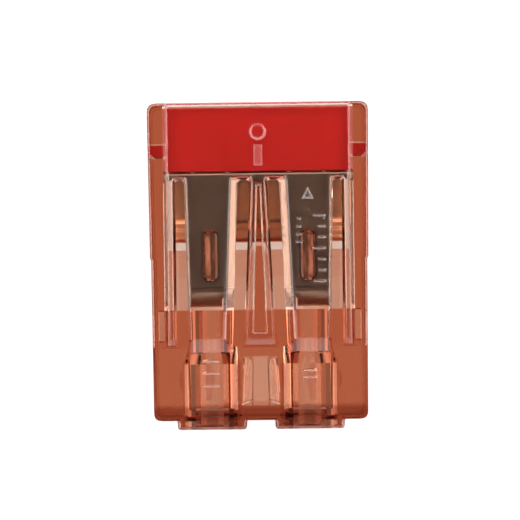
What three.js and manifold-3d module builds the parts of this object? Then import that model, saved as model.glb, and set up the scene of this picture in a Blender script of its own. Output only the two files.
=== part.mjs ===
// A two-way push-in connector for solid copper wire, in millimetres, +Z up.
// The wires go in at the front (-Y), the cover closes the rear (+Y), and the part stands on its base.
// X = 0 is the plane between the two wires, Y = 0 is half the length and Z = 0 is the underside.
import * as THREE from "three";
import { mergeVertices } from "three/addons/utils/BufferGeometryUtils.js";
import Module from "manifold-3d";

const wasm = await Module();
wasm.setup();

// Driving sizes of the whole connector
const LENGTH = 21.0;
const REAR_WIDTH = 14.2;
const FRONT_WIDTH = 13.8;
const HEIGHT = 9.6;
const WIRE_X = 3.14; // each wire's distance from the middle plane
const WIRE_D = 2.26; // the thickest wire, 4 mm2 solid
const RUNNING_GAP = 0.1; // between pieces that slide together

const REAR = LENGTH / 2;
const BOSS_FRONT = -LENGTH / 2;
const NOSE_FRONT = BOSS_FRONT + 0.62;
const SIDES = { left: -1, right: 1 };

// Roof levels, from the base up
const FLOOR_TOP = 1.2;
const NOSE_TOP = 8.2;
const SHELF_TOP = 8.75; // side shelves and the bottoms of the roof grooves
const BARREL_NOSE_TOP = 9.05;
const NOSE_STEP = { from: -4.6, to: -5.5 }; // where the roof ramps down to the nose

// Hollows of the housing
const CHAMBER = { x: 5.94, front: 5.5 }; // the rear of the hollow, which the cover fills
const BARREL = { front: -2.8, top: 8.35 }; // the hollow over both wires, in front of that
const WEB = 0.35; // half the thickness of the wall between the two wires
const BED = { rear: 1.05, step: -0.7, top: 4.4, frontTop: 3.9 }; // raised floor, leads a wire to the bar
const WELL = { r: 1.92, z: 4.0, depth: 4.2, lead: 0.05 }; // takes the insulation of the thickest wire
const GUIDE = { r: WIRE_D / 2 + 0.32, z: 3.85, funnel: 1.3 }; // centres the bare wire
const BOSS = { half: 2.23, z0: 0.55, z1: 7.65, corner: 0.25, fillet: 0.25, edge: 0.2 };
const LATCH = { y0: 6.93, y1: 7.92, z0: 3.0, z1: 7.3 }; // windows that the cover snaps into
const LUG = { y0: -0.93, y1: 2.28, width: 0.93, bottom: 6.45, bevel: 40.5 }; // peg that locates the spring
const FOLD_GROOVE = { y0: -1.47, y1: -1.33, depth: 0.12 }; // across each passage, over the fold
const WALL_POCKET = { x: 6.12, y: -3.85, width: 0.95, length: 2.1, top: 3.2 }; // cored out from below
const WALL_STEP = { y: 0.54, depth: 0.07 }; // the outer walls stand a little proud behind this line
const NOSE_POCKET = { front: -9.0, rear: -5.7, bottom: 4.8, half: 1.5, bottomHalf: 0.5 };
const EJECTOR = { x: 3.97, y: -7.4, r: 1.35, depth: 0.06 }; // pin marks in the base
const GATE = { y: 8.58, dimple: 0.56, stub: 0.32, depth: 0.1 };
const RUNNER = { y: 7.08, width: 0.58, length: 1.36, depth: 0.05 }; // where the plastic ran in from the gate
const MARK = { width: 0.2, depth: 0.07 }; // engraved V-shaped lines

// Metal insert
const STEEL = 0.4;
const PLATE_TOP = BARREL.top - 0.02;
const PLATE_BOTTOM = PLATE_TOP - STEEL;
const FOLD_R = 1.22; // outside radius of the fold that carries each clamping tongue
const FOLD_Y = -1.38;
const FOLD_Z = PLATE_TOP - FOLD_R;
const TONGUE_SLOPE = 40; // degrees below level, with no wire in
const TONGUE = { foldHalf: 1.3, half: 0.72, shoulder: 0.75 }; // half its width at the fold and below it
const TIP_GAP = 0.12; // tongue tip above the busbar with no wire in
const BAR = { x: 5.6, front: 1.55, rear: 5.58, bottom: 1.26, top: 2.3 };
const BAR_RIB = { y: 2.65, height: 0.1 }; // bites into the underside of each wire
const BAR_TAIL = { x0: 2.1, x1: 4.2, reach: 0.35 };
const BAR_SLOT = { front: 1.3, top: 6.8 }; // in the wall between the wires
const REAR_PLATE = { front: 5.6, rear: 6.0, x: 5.7, bend: 0.2 };
const LEG = { x0: 1.8, x1: 4.6, end: 5.52, round: 0.35 };
const WIRE_WINDOW = { width: 2.8, height: 4.3, z: 4.85 };

// Rear cover
const COVER = { x: CHAMBER.x - RUNNING_GAP, front: 6.06, rear: REAR - 0.32, bottom: 1.26, top: 8.29 };
const RECESS = { x0: 1.75, x1: 4.55, z0: 2.5, z1: 6.9, wall: 1.1 }; // room for the wire's end
const TEST_SLOT = { width: 1.2, height: 2.4, z: 4.7, depth: 2.0 }; // reaches the recess

const ARC_STEPS = 5; // straight steps in each rounded corner
const EDGE_STEPS = 3; // straight steps in each rounded edge
const ROUND_SIDES = 32; // sides of each round hole
const FOLD_STEPS = 14; // straight steps round a tongue's fold
const OVER = 1; // how far a cutter runs past the face it goes through

// ---- helpers -------------------------------------------------------------------------------

// A closed outline through corners [x, y, radius], each rounded by a curve that is tangent to its two sides.
function outline(corners) {
  const shape = new THREE.Shape();
  corners.forEach(([x, y, radius = 0], i) => {
    const corner = new THREE.Vector2(x, y);
    const towards = (other, length) =>
      new THREE.Vector2(other[0], other[1]).sub(corner).setLength(length).add(corner);
    const start = towards(corners.at(i - 1), radius);
    const end = towards(corners[(i + 1) % corners.length], radius);
    if (i === 0) shape.moveTo(start.x, start.y);
    else shape.lineTo(start.x, start.y);
    if (radius > 0) shape.quadraticCurveTo(x, y, end.x, end.y);
  });
  return shape;
}

// A rounded rectangle about (x, y).
function rounded(width, height, radius, x = 0, y = 0) {
  const [left, right, low, high] = [x - width / 2, x + width / 2, y - height / 2, y + height / 2];
  return outline([[left, low, radius], [right, low, radius], [right, high, radius], [left, high, radius]]);
}

// A circle about (x, y), as a closed outline of straight sides.
function disc(radius, x, y) {
  const points = Array.from({ length: ROUND_SIDES }, (_, i) => {
    const angle = (2 * Math.PI * i) / ROUND_SIDES;
    return new THREE.Vector2(x + radius * Math.cos(angle), y + radius * Math.sin(angle));
  });
  return new THREE.Shape(points);
}

// An extrusion through levels [z, outline], whose outlines all have the same corners.
function loft(levels) {
  const loops = levels.map(([, shape]) => shape.getPoints(ARC_STEPS));
  const steps = levels.length - 1;
  const key = (x, y) => Math.fround(x) + " " + Math.fround(y);
  const place = new Map(loops[0].map((p, i) => [key(p.x, p.y), i]));
  const settings = { depth: steps, steps, bevelEnabled: false };
  const geometry = new THREE.ExtrudeGeometry(new THREE.Shape(loops[0]), settings);
  const position = geometry.getAttribute("position");
  for (let i = 0; i < position.count; i++) {
    const level = Math.round(position.getZ(i));
    const point = loops[level][place.get(key(position.getX(i), position.getY(i)))];
    position.setXYZ(i, point.x, point.y, levels[level][0]);
  }
  return geometry;
}

// A loft whose lower and upper edges are rounded. outlineAt(inset) gives the outline drawn in by inset.
function pillow(outlineAt, low, high, lowRadius, highRadius) {
  const levels = [];
  for (let k = 0; k <= EDGE_STEPS && lowRadius; k++) {
    const turn = ((k / EDGE_STEPS) * Math.PI) / 2;
    levels.push([low + lowRadius * (1 - Math.cos(turn)), outlineAt(lowRadius * (1 - Math.sin(turn)))]);
  }
  if (!lowRadius) levels.push([low, outlineAt(0)]);
  for (let k = 0; k <= EDGE_STEPS && highRadius; k++) {
    const turn = ((k / EDGE_STEPS) * Math.PI) / 2;
    levels.push([high - highRadius * (1 - Math.sin(turn)), outlineAt(highRadius * (1 - Math.cos(turn)))]);
  }
  if (!highRadius) levels.push([high, outlineAt(0)]);
  return loft(levels);
}

function turned(geometry, x, y, z) {
  return geometry.applyMatrix4(new THREE.Matrix4().makeBasis(x, y, z));
}
const [X, Y, Z] = [[1, 0, 0], [0, 1, 0], [0, 0, 1]].map((v) => new THREE.Vector3(...v));
// A shape drawn in (y, z) whose depth runs along +X, and one drawn in (x, z) whose depth runs along -Y.
const acrossX = (geometry) => turned(geometry, Y, Z, X);
const towardsFront = (geometry) => turned(geometry, X, Z, Y.clone().negate());

function box(x0, x1, y0, y1, z0, z1) {
  const [x, y, z] = [(x0 + x1) / 2, (y0 + y1) / 2, (z0 + z1) / 2];
  return new THREE.BoxGeometry(x1 - x0, y1 - y0, z1 - z0).translate(x, y, z);
}

function solid(geometry) {
  const plain = geometry.clone();
  plain.deleteAttribute("normal");
  plain.deleteAttribute("uv");
  const merged = mergeVertices(plain, 1e-4);
  return new wasm.Manifold(
    new wasm.Mesh({
      numProp: 3,
      vertProperties: Float32Array.from(merged.getAttribute("position").array),
      triVerts: Uint32Array.from(merged.index.array),
    }),
  );
}

const join = (base, geometries) => geometries.reduce((whole, g) => whole.add(solid(g)), base);
const cut = (base, geometries) => geometries.reduce((whole, g) => whole.subtract(solid(g)), base);

// The same geometry on the side given by sign: -1 is the left, and keeps the faces turned outwards.
function onSide(geometry, sign) {
  if (sign > 0) return geometry;
  const mirrored = (geometry.index ? geometry.toNonIndexed() : geometry.clone()).scale(-1, 1, 1);
  const position = mirrored.getAttribute("position");
  for (let i = 0; i < position.count; i += 3) {
    const [a, b] = [i + 1, i + 2].map((n) => new THREE.Vector3().fromBufferAttribute(position, n));
    position.setXYZ(i + 1, b.x, b.y, b.z);
    position.setXYZ(i + 2, a.x, a.y, a.z);
  }
  return mirrored;
}
const bothSides = (geometry) => Object.values(SIDES).map((sign) => onSide(geometry, sign));

function part(name, manifold, colour, roughness, metalness) {
  const { vertProperties, triVerts, numProp } = manifold.getMesh();
  const points = new Float32Array((vertProperties.length / numProp) * 3);
  for (let i = 0; i < points.length / 3; i++) {
    points.set(vertProperties.subarray(i * numProp, i * numProp + 3), i * 3);
  }
  const indexed = new THREE.BufferGeometry()
    .setAttribute("position", new THREE.BufferAttribute(points, 3))
    .setIndex(new THREE.BufferAttribute(triVerts, 1));
  const geometry = indexed.toNonIndexed();
  geometry.computeVertexNormals();
  const material = new THREE.MeshStandardMaterial({ color: colour, roughness, metalness });
  const mesh = new THREE.Mesh(geometry, material);
  mesh.name = name;
  return mesh;
}

// ---- housing -------------------------------------------------------------------------------

// Half the outer width at a distance along Y: the sides draw in a little towards the nose.
function halfWidth(y) {
  const share = (REAR - y) / (REAR - NOSE_FRONT);
  return (REAR_WIDTH + (FRONT_WIDTH - REAR_WIDTH) * share) / 2;
}

// The outer walls seen from above, drawn in by inset.
function casing(inset) {
  const [frontRadius, rearRadius] = [0.5, 0.6];
  const [front, rear, step] = [NOSE_FRONT + inset, REAR - inset, WALL_STEP.y];
  const right = [
    [halfWidth(NOSE_FRONT) - WALL_STEP.depth / 2 - inset, front, frontRadius],
    [halfWidth(step) - WALL_STEP.depth - inset, step - WALL_STEP.depth],
    [halfWidth(step) - inset, step],
    [halfWidth(REAR) - inset, rear, rearRadius],
  ];
  const left = right.map(([x, ...others]) => [-x, ...others]).reverse();
  return outline([...right, ...left]);
}

// The raised roof: a slab over the cover that runs forward as two barrel tops, a middle ridge and two side
// ridges. spread widens each of them below the top face, because the flanks are tapered; the barrels' inner
// flanks slope three times as much.
const ROOF = {
  half: 5.9, rear: REAR - 0.08, grooveEnd: 5.66, ridgeFront: -5.0, barrelFront: -9.0,
  middle: [0.42, 0.92], barrelIn: [1.7, 2.14], barrelOut: [4.64, 4.38], side: 5.45,
  edge: 0.16, flank: 0.14, round: 0.3, tip: 0.1,
};
const VALLEY = { half: [0.08, 0.38], rear: 5.15, front: -4.2, depth: 0.7, edge: 0.14 };
function roofOutline(spread) {
  const { half, rear, grooveEnd, ridgeFront, barrelFront } = ROOF;
  const { middle, barrelIn, barrelOut, side, round, tip } = ROOF;
  const end = grooveEnd - spread;
  const inward = 3 * spread;
  const outward = 1.5 * spread;
  const right = [
    [half + outward, rear + Math.min(spread, 0), 0.15],
    [half + outward, ridgeFront - spread, tip],
    [side - spread, ridgeFront - spread, tip],
    [side - spread, end, round],
    [barrelOut[0] + spread, end, round],
    [barrelOut[1] + spread, barrelFront - spread, tip],
    [barrelIn[1] - inward, barrelFront - spread, tip],
    [barrelIn[1] - inward, ridgeFront, 0],
    [barrelIn[0] - inward, end, round],
    [middle[0] + spread, end, round],
    [middle[1] + spread, ridgeFront - spread, tip],
  ];
  const left = right.map(([x, y, radius]) => [-x, y, radius]).reverse();
  return outline([...right, ...left]);
}

function roof() {
  const below = NOSE_TOP - 0.2;
  const levels = [[below, roofOutline((ROOF.flank * (HEIGHT - below)) / (HEIGHT - SHELF_TOP))]];
  for (let k = 0; k <= EDGE_STEPS; k++) {
    const turn = ((k / EDGE_STEPS) * Math.PI) / 2;
    const drawnIn = roofOutline(-0.6 * ROOF.edge * (1 - Math.cos(turn)));
    levels.push([HEIGHT - ROOF.edge * (1 - Math.sin(turn)), drawnIn]);
  }
  return loft(levels);
}

// The valley along the middle ridge, which leaves a rounded rib on each side of it.
function valley() {
  const { half, rear, front, depth, edge } = VALLEY;
  const plan = (spread) =>
    outline([
      [half[0] + spread, rear + spread, 0.04],
      [half[1] + spread, front - spread, 0.08],
      [-half[1] - spread, front - spread, 0.08],
      [-half[0] - spread, rear + spread, 0.04],
    ]);
  const levels = [[HEIGHT - depth, plan(-0.02)]];
  for (let k = 0; k <= EDGE_STEPS; k++) {
    const turn = ((k / EDGE_STEPS) * Math.PI) / 2;
    levels.push([HEIGHT - edge * (1 - Math.sin(turn)), plan(edge * (1 - Math.cos(turn)))]);
  }
  return loft([...levels, [HEIGHT + OVER, plan(edge)]]);
}

// Everything above the roof line: the roof ramps down to the nose in front of the ridges.
function sky() {
  const line = outline([
    [BOSS_FRONT - OVER, BARREL_NOSE_TOP],
    [NOSE_STEP.to, BARREL_NOSE_TOP, 0.12],
    [NOSE_STEP.from, HEIGHT, 0.12],
    [NOSE_STEP.from + OVER, HEIGHT + OVER],
    [BOSS_FRONT - OVER, HEIGHT + OVER],
  ]);
  return acrossX(loft([[-REAR_WIDTH, line], [REAR_WIDTH, line]]));
}

// The block that stands out in front of the nose round a wire entry, with small fillets where it leaves it.
function boss() {
  const [inner, outer] = [WIRE_X - BOSS.half, WIRE_X + BOSS.half];
  const [ledge, root] = [NOSE_FRONT + 0.03, NOSE_FRONT + 0.6];
  const foot = 0.5; // how far the fillets' foot reaches along the nose
  const plan = (inset) => {
    const [tip, corner] = [BOSS_FRONT + inset, BOSS.corner - inset];
    return outline([
      [inner - foot, root], [inner - foot, ledge], [inner + inset, ledge, BOSS.fillet],
      [inner + inset, tip, corner], [outer - inset, tip, corner],
      [outer - inset, ledge, BOSS.fillet], [outer + foot, ledge], [outer + foot, root],
    ]);
  };
  return pillow(plan, BOSS.z0, BOSS.z1, BOSS.edge, BOSS.edge);
}

// The way in for one wire: a well for the insulation, a funnel and a guide for the bare wire.
function entry() {
  const wellEnd = BOSS_FRONT + WELL.depth;
  const well = disc(WELL.r, WIRE_X, WELL.z);
  const guide = disc(GUIDE.r, WIRE_X, GUIDE.z);
  const mouth = disc(WELL.r + WELL.lead + OVER, WIRE_X, WELL.z);
  return towardsFront(loft([
    [-BED.rear - OVER, guide],
    [-wellEnd - GUIDE.funnel, guide],
    [-wellEnd, well],
    [-BOSS_FRONT - WELL.lead, well],
    [-BOSS_FRONT + OVER, mouth],
  ]));
}

// The tapered pocket in the nose between the two entries.
function nosePocket() {
  const { front, rear, bottom, half, bottomHalf } = NOSE_POCKET;
  const at = (width, draft) => outline([
    [-width, front + draft, 0.2], [width, front + draft, 0.2],
    [0.85 * width, rear - draft, 0.2], [-0.85 * width, rear - draft, 0.2],
  ]);
  return loft([[bottom, at(bottomHalf, 0.25)], [NOSE_TOP + OVER, at(half, 0)]]);
}

// A stadium-shaped peg under the roof that holds the spring's leg in place, with a V-shaped lower edge.
function lug() {
  const [middle, length, round] = [(LUG.y0 + LUG.y1) / 2, LUG.y1 - LUG.y0, 0.48 * LUG.width];
  const plan = rounded(LUG.width, length, round, WIRE_X, middle);
  const peg = solid(loft([[LUG.bottom, plan], [BARREL.top + 0.3, plan]]));
  const rise = LUG.width * Math.tan(THREE.MathUtils.degToRad(LUG.bevel));
  const [left, right, slope] = [WIRE_X - LUG.width, WIRE_X + LUG.width, LUG.bottom + rise];
  const tip = [WIRE_X, LUG.bottom];
  const edge = outline([tip, [right, slope], [right, HEIGHT], [left, HEIGHT], [left, slope]]);
  return peg.intersect(solid(towardsFront(loft([[-LUG.y1 - OVER, edge], [-LUG.y0 + OVER, edge]]))));
}

// The moulding gate: a dimple, and in it the stub, which stays below the roof face.
function gateCone(low, high, z0, z1) {
  const cone = new THREE.CylinderGeometry(high, low, z1 - z0, ROUND_SIDES).rotateX(Math.PI / 2);
  return cone.translate(0, GATE.y, (z0 + z1) / 2);
}

// Plain engraved marks: an arrow over a strip gauge on the right barrel, and bars on the nose.
function marks() {
  const line = (x, y, length, top) => {
    const { width, depth } = MARK;
    const mouth = rounded(length, width, 0.05, x, y);
    const bottom = rounded(length - 0.8 * width, 0.2 * width, 0.01, x, y);
    return loft([[top - depth, bottom], [top, mouth], [top + OVER, mouth]]);
  };
  const arrow = (size) => {
    const [x, low, tip] = [WIRE_X, 4.5 - 0.6 * size, 4.5 + 1.2 * size];
    return outline([[x - size, low], [x + size, low], [x, tip]]);
  };
  const gauge = Array.from({ length: 7 }, (_, i) => {
    const length = i % 3 ? 0.5 : 0.8; // every third line is a long one
    return line(4.26 - length / 2, 3.2 - 0.7 * i, length, HEIGHT);
  });
  const wireSizes = Array.from({ length: 4 }, (_, i) => line(2.56, 3.0 - 0.5 * i, 0.3 + 0.06 * i, HEIGHT));
  const leftNose = [-6.05, -6.85, -7.65].map((y) => line(-3.15, y, 1.15, BARREL_NOSE_TOP));
  const rightNose = [-6.7, -7.15].map((y) => line(3.15, y, 0.95, BARREL_NOSE_TOP));
  const arrowCut = loft([[HEIGHT - 0.12, arrow(0.12)], [HEIGHT, arrow(0.42)], [HEIGHT + OVER, arrow(0.42)]]);
  return [arrowCut, ...gauge, ...wireSizes, ...leftNose, ...rightNose];
}

// The hollow behind the nose: down to the bed in front, down to the floor behind, and a trough for each wire.
function hollows() {
  const end = REAR + OVER;
  const trough = [WIRE_X - GUIDE.r, WIRE_X + GUIDE.r];
  const besideWeb = (y0, y1, z0, z1) => bothSides(box(WEB, CHAMBER.x, y0, y1, z0, z1));
  const rear = CHAMBER.front + 0.5; // runs into the rear of the hollow
  return [
    box(-CHAMBER.x, CHAMBER.x, CHAMBER.front, end, FLOOR_TOP, BARREL.top),
    box(-CHAMBER.x, CHAMBER.x, BAR_SLOT.front, rear, FLOOR_TOP, BAR_SLOT.top),
    ...besideWeb(BED.rear, rear, FLOOR_TOP, BARREL.top),
    ...besideWeb(BARREL.front, rear, BED.top, BARREL.top),
    ...besideWeb(BARREL.front, BED.step, BED.frontTop, BARREL.top),
    ...besideWeb(FOLD_GROOVE.y0, FOLD_GROOVE.y1, PLATE_TOP, BARREL.top + FOLD_GROOVE.depth),
    ...bothSides(box(trough[0], trough[1], BARREL.front, BED.rear + OVER, GUIDE.z, BARREL.top)),
  ];
}

function housing() {
  const noseTo = (NOSE_STEP.from + NOSE_STEP.to) / 2 - 0.1;
  const { x, y, width, length } = WALL_POCKET;
  const wallPocket = (inset) => rounded(width - 2 * inset, length - 2 * inset, 0.15, x, y);
  const runner = (inset) =>
    rounded(RUNNER.width - 2 * inset, RUNNER.length - 2 * inset, 0.15, 0, RUNNER.y);
  const pinMark = disc(EJECTOR.r, EJECTOR.x, EJECTOR.y);

  const block = solid(pillow(casing, 0, SHELF_TOP, 0.25, 0.15));
  const lowNose = cut(block, [box(-REAR_WIDTH, REAR_WIDTH, BOSS_FRONT - OVER, noseTo, NOSE_TOP, HEIGHT)]);
  const shell = cut(join(lowNose, [roof(), ...bothSides(boss())]), [sky()]);
  const hollow = cut(shell, [
    ...hollows(),
    ...bothSides(entry()),
    ...bothSides(box(CHAMBER.x - 0.1, REAR_WIDTH, LATCH.y0, LATCH.y1, LATCH.z0, LATCH.z1)),
    ...bothSides(pillow(wallPocket, -OVER, WALL_POCKET.top, 0, 0.12)),
    ...bothSides(loft([[-OVER, pinMark], [EJECTOR.depth, pinMark]])),
    nosePocket(),
    valley(),
    gateCone(GATE.dimple - 2 * GATE.depth, GATE.dimple, HEIGHT - GATE.depth, HEIGHT + 0.01),
    loft([[HEIGHT - RUNNER.depth, runner(0.1)], [HEIGHT + 0.01, runner(0)]]),
    ...marks(),
  ]);
  const stub = gateCone(GATE.stub + 0.04, GATE.stub - 0.2, HEIGHT - GATE.depth - 0.02, HEIGHT - 0.01);
  return join(hollow, [stub]).add(lug()).add(lug().mirror([1, 0, 0]));
}

// ---- cover ---------------------------------------------------------------------------------

// A block that snaps into the latch window: its front corner is cut back, so the cover goes in but not out.
function snapNib() {
  const [front, rear] = [LATCH.y0 + RUNNING_GAP, LATCH.y1 - RUNNING_GAP];
  const [root, tip] = [COVER.x - 0.3, halfWidth(LATCH.y0) - 0.1];
  const plan = outline([
    [root, front], [tip - 0.3, front], [tip, front + 0.25], [tip, rear, 0.05], [root, rear],
  ]);
  return loft([[LATCH.z0 + RUNNING_GAP, plan], [LATCH.z1 - RUNNING_GAP, plan]]);
}

function rearCover() {
  const [middle, length] = [(COVER.front + COVER.rear) / 2, COVER.rear - COVER.front];
  const plan = (inset) => rounded(2 * (COVER.x - inset), length - 2 * inset, 0.15, 0, middle);
  const block = solid(pillow(plan, COVER.bottom, COVER.top, 0.12, 0.12));
  const front = COVER.front - OVER;
  const recess = box(RECESS.x0, RECESS.x1, front, COVER.rear - RECESS.wall, RECESS.z0, RECESS.z1);
  const [tail0, tail1] = [BAR_TAIL.x0 - 0.2, BAR_TAIL.x1 + 0.2];
  const barTail = box(tail0, tail1, front, COVER.front + 0.5, COVER.bottom - OVER, BAR.top + 0.3);
  const slot = rounded(TEST_SLOT.width, TEST_SLOT.height, 0.3, WIRE_X, TEST_SLOT.z);
  const testSlot = towardsFront(loft([[-COVER.rear - OVER, slot], [-COVER.rear + TEST_SLOT.depth, slot]]));
  const hollow = cut(block, [...bothSides(recess), ...bothSides(barTail), ...bothSides(testSlot)]);
  return join(hollow, bothSides(snapNib()));
}

// ---- metal insert --------------------------------------------------------------------------

// A bar across both wires. Its front edge is eased for the wire, a low rib bites under each wire,
// and its two tails pass through the spring's rear plate.
function busbar() {
  const { x, front, rear, bottom, top } = BAR;
  const { y, height } = BAR_RIB;
  const section = outline([
    [front, bottom, 0.1], [rear, bottom], [rear, top],
    [y + 0.35, top, 0.1], [y + 0.15, top + height, 0.05],
    [y - 0.15, top + height, 0.05], [y - 0.35, top, 0.1],
    [front, top, 0.45],
  ]);
  const bar = solid(acrossX(loft([[-x, section], [x, section]])));
  const tailEnd = REAR_PLATE.rear + BAR_TAIL.reach;
  const tail = box(BAR_TAIL.x0, BAR_TAIL.x1, rear - 0.2, tailEnd, bottom, top - 0.25);
  return join(bar, bothSides(tail));
}

// The fixed part of the spring: two legs under the roof, joined to a plate that is turned down behind them.
function springBack() {
  const { front, rear, x, bend } = REAR_PLATE;
  const { x0, x1, end, round } = LEG;
  const legFront = FOLD_Y + 0.06;
  const foot = BAR.bottom + 0.1;
  const profile = outline([
    [legFront, PLATE_BOTTOM], [front, PLATE_BOTTOM, 0.05], [front, foot],
    [rear, foot], [rear, PLATE_TOP, bend], [legFront, PLATE_TOP],
  ]);
  const sheet = solid(acrossX(loft([[-x, profile], [x, profile]])));

  const downThrough = (shape) => loft([[PLATE_BOTTOM - OVER, shape], [PLATE_TOP + OVER, shape]]);
  const slotLength = 8; // runs out past the front of the legs
  const between = downThrough(rounded(2 * x0, slotLength, round, 0, end - slotLength / 2));
  const [low, edge] = [end - slotLength, x + OVER];
  const beside = outline([[x1, low], [edge, low], [edge, end], [x1, end, round]]);
  const outside = downThrough(beside);
  const [lugWidth, lugLength] = [LUG.width + 0.24, LUG.y1 - LUG.y0 + 0.24];
  const lugSlot = downThrough(rounded(lugWidth, lugLength, 0.5, WIRE_X, (LUG.y0 + LUG.y1) / 2));
  const opening = rounded(WIRE_WINDOW.width, WIRE_WINDOW.height, 0.4, WIRE_X, WIRE_WINDOW.z);
  const wireWindow = towardsFront(loft([[-rear - OVER, opening], [-front + OVER, opening]]));
  const [tail0, tail1] = [BAR_TAIL.x0 - RUNNING_GAP, BAR_TAIL.x1 + RUNNING_GAP];
  const tailSlot = box(tail0, tail1, front - 0.5, rear + 0.5, BAR.bottom - 0.3, BAR.top - 0.15);
  const sideCuts = [outside, lugSlot, wireWindow, tailSlot].flatMap(bothSides);
  return cut(sheet, [between, ...sideCuts]);
}

// A clamping tongue with the fold that it springs from, as a strip of steel seen from the side.
function tongueSolid(sign) {
  const slope = THREE.MathUtils.degToRad(TONGUE_SLOPE);
  const turn = Math.PI - slope;
  const at = (radius, angle) => [FOLD_Y + radius * Math.cos(angle), FOLD_Z + radius * Math.sin(angle)];
  const arc = (radius) =>
    Array.from({ length: FOLD_STEPS + 1 }, (_, i) => at(radius, Math.PI / 2 + (turn * i) / FOLD_STEPS));
  const [outer, inner] = [arc(FOLD_R), arc(FOLD_R - STEEL)];
  const reach = (outer.at(-1)[1] - BAR.top - TIP_GAP) / Math.sin(slope); // along the tongue to the busbar
  const along = ([y, z], length) => [y + length * Math.cos(slope), z - length * Math.sin(slope)];
  const [tip, innerTip] = [along(outer.at(-1), reach), along(inner.at(-1), reach - 0.9 * STEEL)];
  const strip = outline([...outer, tip, innerTip, ...inner.reverse()]);
  const [left, right] = [WIRE_X - TONGUE.foldHalf, WIRE_X + TONGUE.foldHalf];
  const whole = solid(acrossX(loft([[left, strip], [right, strip]])));

  // The strip is narrower on its inner side from the fold on, below a sloping shoulder.
  const narrow = WIRE_X - TONGUE.half;
  const front = FOLD_Y - 2 * FOLD_R;
  const shoulder = outline([
    [left - OVER, FOLD_Y + 0.1], [left, FOLD_Y], [narrow, FOLD_Y - TONGUE.shoulder],
    [narrow, front], [left - OVER, front],
  ]);
  const narrowed = cut(whole, [loft([[FOLD_Z - 2 * FOLD_R, shoulder], [PLATE_TOP + OVER, shoulder]])]);
  return sign > 0 ? narrowed : narrowed.mirror([1, 0, 0]);
}

// ---- assembly ------------------------------------------------------------------------------

const connector = new THREE.Group();
connector.add(
  part("housing", housing(), 0xb5603a, 0.08, 0),
  part("rear_cover", rearCover(), 0xc81414, 0.35, 0),
  part("busbar", busbar(), 0xb87c5a, 0.35, 1),
  part("spring_back", springBack(), 0x8a8782, 0.32, 1),
);
for (const [side, sign] of Object.entries(SIDES)) {
  connector.add(part("clamp_tongue_" + side, tongueSolid(sign), 0x8a8782, 0.3, 1));
}

export default connector;
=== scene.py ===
"""A two-way push-in wire connector in clear brown polycarbonate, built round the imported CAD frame."""

import math

import bmesh
import bpy
from mathutils import Matrix, Vector


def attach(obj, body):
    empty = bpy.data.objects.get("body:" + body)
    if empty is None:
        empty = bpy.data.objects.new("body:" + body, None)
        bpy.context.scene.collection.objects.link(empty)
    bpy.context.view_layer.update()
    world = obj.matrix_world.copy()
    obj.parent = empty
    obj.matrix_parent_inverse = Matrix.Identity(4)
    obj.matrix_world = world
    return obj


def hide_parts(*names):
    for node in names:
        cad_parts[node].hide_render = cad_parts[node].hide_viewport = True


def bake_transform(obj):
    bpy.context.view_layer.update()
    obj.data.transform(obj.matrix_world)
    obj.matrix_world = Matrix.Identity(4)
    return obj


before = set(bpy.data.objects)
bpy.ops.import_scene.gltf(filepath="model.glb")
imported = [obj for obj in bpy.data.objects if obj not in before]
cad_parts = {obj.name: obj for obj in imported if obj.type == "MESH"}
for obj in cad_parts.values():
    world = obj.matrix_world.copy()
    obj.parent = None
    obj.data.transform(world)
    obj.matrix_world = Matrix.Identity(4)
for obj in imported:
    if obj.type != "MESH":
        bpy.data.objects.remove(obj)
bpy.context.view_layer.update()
MM = 0.001

# ---- camera, floor and light -----------------------------------------------------------------

VIEW_WIDTH = 33.28 * MM  # what the frame takes in at the height of the roof
VIEW_DISTANCE = 300 * MM
VIEW_CENTRE = Vector((0.05, 0.38, 8.75)) * MM
VIEW_ROLL = 0.013  # the connector lies turned a little anticlockwise in the frame

# Light from each direction, whose height runs from 0 at the horizon to 1 straight up
SHEET_GLOW = 0.6
BOX_EDGE = (0.4, 0.5)  # how far to one side a soft box begins
BOX_FOOT, BOX_TOP = (0.34, 0.44), (0.88, 0.8)
BOX_LIGHT, FRONT_BOX = 4.6, 0.3  # the front box has this share of the others' light
OVERHEAD = (0.93, 0.8)  # the room dims between these heights
ROOM_LIGHT, OVERHEAD_LIGHT = 0.4, 0.06


def linear(hex_colour):
    """A linear RGBA colour from an sRGB hex value such as "c8141e"."""
    parts = [int(hex_colour[i : i + 2], 16) / 255 for i in (0, 2, 4)]
    return [c / 12.92 if c <= 0.04045 else ((c + 0.055) / 1.055) ** 2.4 for c in parts] + [1]


def add(tree, kind, inputs=None, **settings):
    """A new node of a tree, with its settings, and its inputs set to values or linked to outputs."""
    node = tree.nodes.new(kind)
    for name, value in settings.items():
        setattr(node, name, value)
    for key, value in (inputs or {}).items():
        if isinstance(value, bpy.types.NodeSocket):
            tree.links.new(value, node.inputs[key])
        else:
            node.inputs[key].default_value = value
    return node


def maths(tree, operation, a, b=0.0):
    """The result of one sum on two values."""
    return add(tree, "ShaderNodeMath", {0: a, 1: b}, operation=operation).outputs["Value"]


def between(tree, value, low, high):
    """0 below low and 1 above high, or the other way round when low is the larger."""
    ranged = {"Value": value, "From Min": low, "From Max": high}
    return add(tree, "ShaderNodeMapRange", ranged, interpolation_type="SMOOTHSTEP").outputs["Result"]


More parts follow.
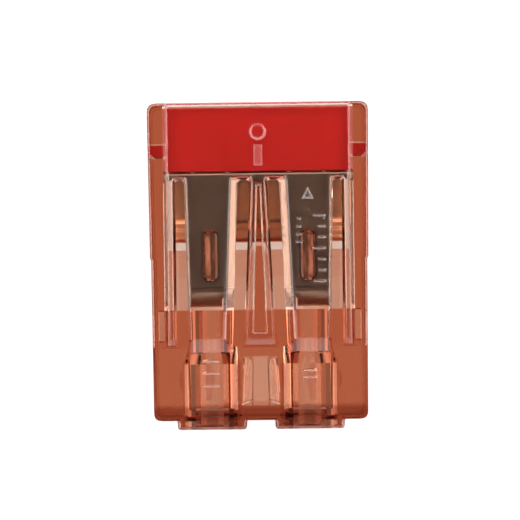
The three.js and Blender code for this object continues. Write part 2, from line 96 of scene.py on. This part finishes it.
def make_camera():
    data = bpy.data.cameras.new("camera")
    data.sensor_width = 36
    data.lens = data.sensor_width * VIEW_DISTANCE / VIEW_WIDTH
    data.clip_start = 10 * MM
    camera = bpy.data.objects.new("camera", data)
    backward = Vector((0, 0, 1))
    up = Vector((VIEW_ROLL, 1, 0)).normalized()
    right = up.cross(backward)
    rotation = Matrix((right, up, backward)).transposed().to_4x4()
    camera.matrix_world = Matrix.Translation(VIEW_CENTRE + backward * VIEW_DISTANCE) @ rotation
    bpy.context.scene.collection.objects.link(camera)
    bpy.context.scene.camera = camera


def make_floor():
    """A plain white sheet that glows softly, as a light table does, so that the plastic is lit from below."""
    bm = bmesh.new()
    bmesh.ops.create_grid(bm, x_segments=1, y_segments=1, size=1.5)
    mesh = bpy.data.meshes.new("floor")
    bm.to_mesh(mesh)
    bm.free()
    floor = bpy.data.objects.new("floor", mesh)
    bpy.context.scene.collection.objects.link(floor)
    material = bpy.data.materials.new("light_table")
    material.use_nodes = True
    shader = material.node_tree.nodes["Principled BSDF"]
    shader.inputs["Base Color"].default_value = linear("a8a8a8")
    shader.inputs["Roughness"].default_value = 0.9
    shader.inputs["Emission Color"].default_value = (1, 1, 1, 1)
    shader.inputs["Emission Strength"].default_value = SHEET_GLOW
    mesh.materials.append(material)


def make_light():
    """Soft light: wide boxes at the left, the right and the rear, half-way up, and a weaker one in front.
    The room round them is dim, and darkest straight overhead round the camera."""
    world = bpy.data.worlds.new("studio")
    bpy.context.scene.world = world
    world.use_nodes = True
    tree = world.node_tree
    tree.nodes.clear()

    direction = add(tree, "ShaderNodeTexCoord").outputs["Generated"]
    split = add(tree, "ShaderNodeSeparateXYZ", {"Vector": direction}).outputs
    sideways, rearward, height = split["X"], split["Y"], split["Z"]
    aside = maths(tree, "MAXIMUM", maths(tree, "ABSOLUTE", sideways), rearward)
    front = maths(tree, "MULTIPLY", between(tree, rearward, -BOX_EDGE[0], -BOX_EDGE[1]), FRONT_BOX)
    beside = maths(tree, "MAXIMUM", between(tree, aside, *BOX_EDGE), front)
    band = maths(tree, "MULTIPLY", between(tree, height, *BOX_FOOT), between(tree, height, *BOX_TOP))
    boxes = maths(tree, "MULTIPLY", maths(tree, "MULTIPLY", beside, band), BOX_LIGHT)
    room = maths(tree, "MULTIPLY", between(tree, height, *OVERHEAD), ROOM_LIGHT)
    strength = maths(tree, "ADD", maths(tree, "ADD", boxes, room), OVERHEAD_LIGHT)
    background = add(tree, "ShaderNodeBackground", {"Strength": strength})
    background.inputs["Color"].default_value = (1, 1, 1, 1)
    add(tree, "ShaderNodeOutputWorld", {"Surface": background.outputs["Background"]})


bpy.context.scene.view_settings.view_transform = "Standard"
make_camera()
make_floor()
make_light()

# ---- materials -------------------------------------------------------------------------------


def new_material(name):
    material = bpy.data.materials.new(name)
    material.use_nodes = True
    tree = material.node_tree
    tree.nodes.clear()
    place = add(tree, "ShaderNodeTexCoord").outputs["Object"]
    return material, tree, place


def bumped(tree, pattern, strength, height):
    """Small bumps that follow a noise pattern, height metres from low to high."""
    heights = {"Height": pattern.outputs["Fac"], "Strength": strength, "Distance": height}
    return add(tree, "ShaderNodeBump", heights)


# The strip of roof in front of the gate is frosted, where the plastic ran in
FROSTED_HALF, FROSTED_FRONT, FROSTED_REAR, FROSTED_ABOVE = 0.29 * MM, 6.4 * MM, 7.76 * MM, 9 * MM
FROSTING = 0.45
# Painted shade: the collar round the wire entries is painted browner in front of this edge, in place of the
# light from below that does not come through there; matched, not a known finish
COLLAR_SHADE_EDGE = (-9.15 * MM, -8.95 * MM)


def clear_polycarbonate():
    """Clear polycarbonate with a brown tint, injection-moulded in a polished tool: thin walls look pink,
    deep ones burnt orange."""
    material, tree, place = new_material("tinted_clear_polycarbonate")
    flow = add(tree, "ShaderNodeTexNoise", {"Vector": place, "Scale": 1 / (2.5 * MM), "Detail": 2.0})
    haze = add(tree, "ShaderNodeMapRange", {"Value": flow.outputs["Fac"], "To Min": 0.0, "To Max": 0.05})
    spot = add(tree, "ShaderNodeSeparateXYZ", {"Vector": place}).outputs
    strip = maths(tree, "LESS_THAN", maths(tree, "ABSOLUTE", spot["X"]), FROSTED_HALF)
    for limit, test, value in (
        (FROSTED_FRONT, "GREATER_THAN", spot["Y"]),
        (FROSTED_REAR, "LESS_THAN", spot["Y"]),
        (FROSTED_ABOVE, "GREATER_THAN", spot["Z"]),
    ):
        strip = maths(tree, "MULTIPLY", strip, maths(tree, test, value, limit))
    roughness = maths(tree, "ADD", haze.outputs["Result"], maths(tree, "MULTIPLY", strip, FROSTING))
    # Painted shade: the base colour turns browner in front of the collar edge, standing in for the light from
    # below that does not come through there
    collar_shade_range = {"Value": spot["Y"], "From Min": COLLAR_SHADE_EDGE[0], "From Max": COLLAR_SHADE_EDGE[1]}
    collar_shade_mask = add(tree, "ShaderNodeMapRange", collar_shade_range)
    tint_and_painted_shade = add(
        tree,
        "ShaderNodeMix",
        {"Factor": collar_shade_mask.outputs["Result"], "A": linear("c9a598"), "B": linear("fffaf7")},
        data_type="RGBA",
    )
    bump = bumped(tree, flow, 0.05, 0.2 * MM)
    shader = add(
        tree,
        "ShaderNodeBsdfPrincipled",
        {
            "Base Color": tint_and_painted_shade.outputs["Result"],
            "Roughness": roughness,
            "IOR": 1.585,
            "Transmission Weight": 1.0,
            "Normal": bump.outputs["Normal"],
        },
    )
    tint = add(tree, "ShaderNodeVolumeAbsorption", {"Color": (0.76, 0.27, 0.0, 1), "Density": 345.0})
    add(
        tree,
        "ShaderNodeOutputMaterial",
        {"Surface": shader.outputs["BSDF"], "Volume": tint.outputs["Volume"]},
    )
    return material


def red_polycarbonate():
    """Opaque red polycarbonate with a satin moulded face."""
    material, tree, place = new_material("red_moulded_polycarbonate")
    cloud = add(tree, "ShaderNodeTexNoise", {"Vector": place, "Scale": 1 / (3 * MM), "Detail": 3.0})
    colour = add(
        tree,
        "ShaderNodeMix",
        {"Factor": cloud.outputs["Fac"], "A": linear("c80301"), "B": linear("d00402")},
        data_type="RGBA",
    )
    grain = add(tree, "ShaderNodeTexNoise", {"Vector": place, "Scale": 1 / (0.12 * MM), "Detail": 2.0})
    bump = bumped(tree, grain, 0.15, 0.02 * MM)
    gloss = add(tree, "ShaderNodeMapRange", {"Value": grain.outputs["Fac"], "To Min": 0.28, "To Max": 0.45})
    shader = add(
        tree,
        "ShaderNodeBsdfPrincipled",
        {
            "Base Color": colour.outputs["Result"],
            "Roughness": gloss.outputs["Result"],
            "IOR": 1.585,
            "Normal": bump.outputs["Normal"],
        },
    )
    add(tree, "ShaderNodeOutputMaterial", {"Surface": shader.outputs["BSDF"]})
    return material


def rolled_metal(name, colour, worn, low, high, line_mm):
    """Rolled strip metal: fine lines along the strip, line_mm apart, and slow changes of tone."""
    material, tree, place = new_material(name)
    across = 1 / (line_mm * MM)
    along = 0.05 * across
    stretched = add(tree, "ShaderNodeMapping", {"Vector": place, "Scale": (across, along, across)})
    line_noise = {"Vector": stretched.outputs["Vector"], "Scale": 1.0, "Detail": 2.0}
    lines = add(tree, "ShaderNodeTexNoise", line_noise)
    cloud = add(tree, "ShaderNodeTexNoise", {"Vector": place, "Scale": 1 / (1.6 * MM), "Detail": 3.0})
    tone = add(
        tree,
        "ShaderNodeMix",
        {"Factor": cloud.outputs["Fac"], "A": linear(colour), "B": linear(worn)},
        data_type="RGBA",
    )
    gloss = add(tree, "ShaderNodeMapRange", {"Value": lines.outputs["Fac"], "To Min": low, "To Max": high})
    bump = bumped(tree, lines, 0.2, 0.01 * MM)
    shader = add(
        tree,
        "ShaderNodeBsdfPrincipled",
        {
            "Base Color": tone.outputs["Result"],
            "Metallic": 1.0,
            "Roughness": gloss.outputs["Result"],
            "Normal": bump.outputs["Normal"],
        },
    )
    add(tree, "ShaderNodeOutputMaterial", {"Surface": shader.outputs["BSDF"]})
    return material


MATERIALS = {
    "tinted_polycarbonate": clear_polycarbonate(),
    "red_polycarbonate": red_polycarbonate(),
    "copper": rolled_metal("browned_copper", "e6b08c", "c98e6c", 0.25, 0.4, 0.08),
    "spring_steel": rolled_metal("rolled_stainless_spring_steel", "9a9690", "88837c", 0.28, 0.42, 0.06),
}

# ---- pieces ----------------------------------------------------------------------------------


THIN = 0.22  # mm: a face narrower than twice this is one strip of a rounded edge or hole
WELD = 0.0005 * MM
FLAT, SHARP, CORNER = math.radians(0.5), math.radians(40), math.radians(50)


def strip_width(face):
    """How wide a face is for its length, in millimetres: low for the strips that make up a rounding."""
    return 2 * face.calc_area() / face.calc_perimeter() / MM


def refined(name, node, slot, edge=0.0, steps=1):
    """The visual piece for a CAD node: the same shape, with its sharp edges rounded by edge millimetres."""
    bm = bmesh.new()
    bm.from_mesh(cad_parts[node].data)
    bmesh.ops.remove_doubles(bm, verts=bm.verts, dist=WELD)
    bmesh.ops.dissolve_limit(bm, angle_limit=FLAT, verts=bm.verts, edges=bm.edges)
    if edge:
        corners = [e for e in bm.edges if len(e.link_faces) == 2 and e.calc_face_angle() > CORNER]
        bmesh.ops.bevel(
            bm,
            geom=corners,
            offset=edge * MM,
            offset_type="OFFSET",
            segments=steps,
            profile=0.5,
            affect="EDGES",
            clamp_overlap=True,
            material=-1,
        )
    bmesh.ops.recalc_face_normals(bm, faces=bm.faces)
    for face in bm.faces:
        face.smooth = strip_width(face) < THIN
    for e in bm.edges:
        e.smooth = len(e.link_faces) == 2 and e.calc_face_angle() < SHARP
    mesh = bpy.data.meshes.new(name)
    bm.to_mesh(mesh)
    bm.free()
    mesh.materials.append(MATERIALS[slot])
    piece = bpy.data.objects.new(name, mesh)
    bpy.context.scene.collection.objects.link(piece)
    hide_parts(node)
    return piece


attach(refined("clear_housing", "housing", "tinted_polycarbonate"), "shell")
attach(refined("red_cover", "rear_cover", "red_polycarbonate", 0.05, 2), "shell")
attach(refined("copper_busbar", "busbar", "copper", 0.04, 2), "shell")
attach(refined("spring_plate", "spring_back", "spring_steel", 0.03), "shell")

# Each tongue is made as its own piece, with its placement baked into its mesh.
WIRE_X = 3.14 * MM  # each wire's distance from the middle
for side, x in (("left", -WIRE_X), ("right", WIRE_X)):
    strip = refined("spring_tongue_" + side, "clamp_tongue_" + side, "spring_steel", 0.03)
    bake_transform(strip)
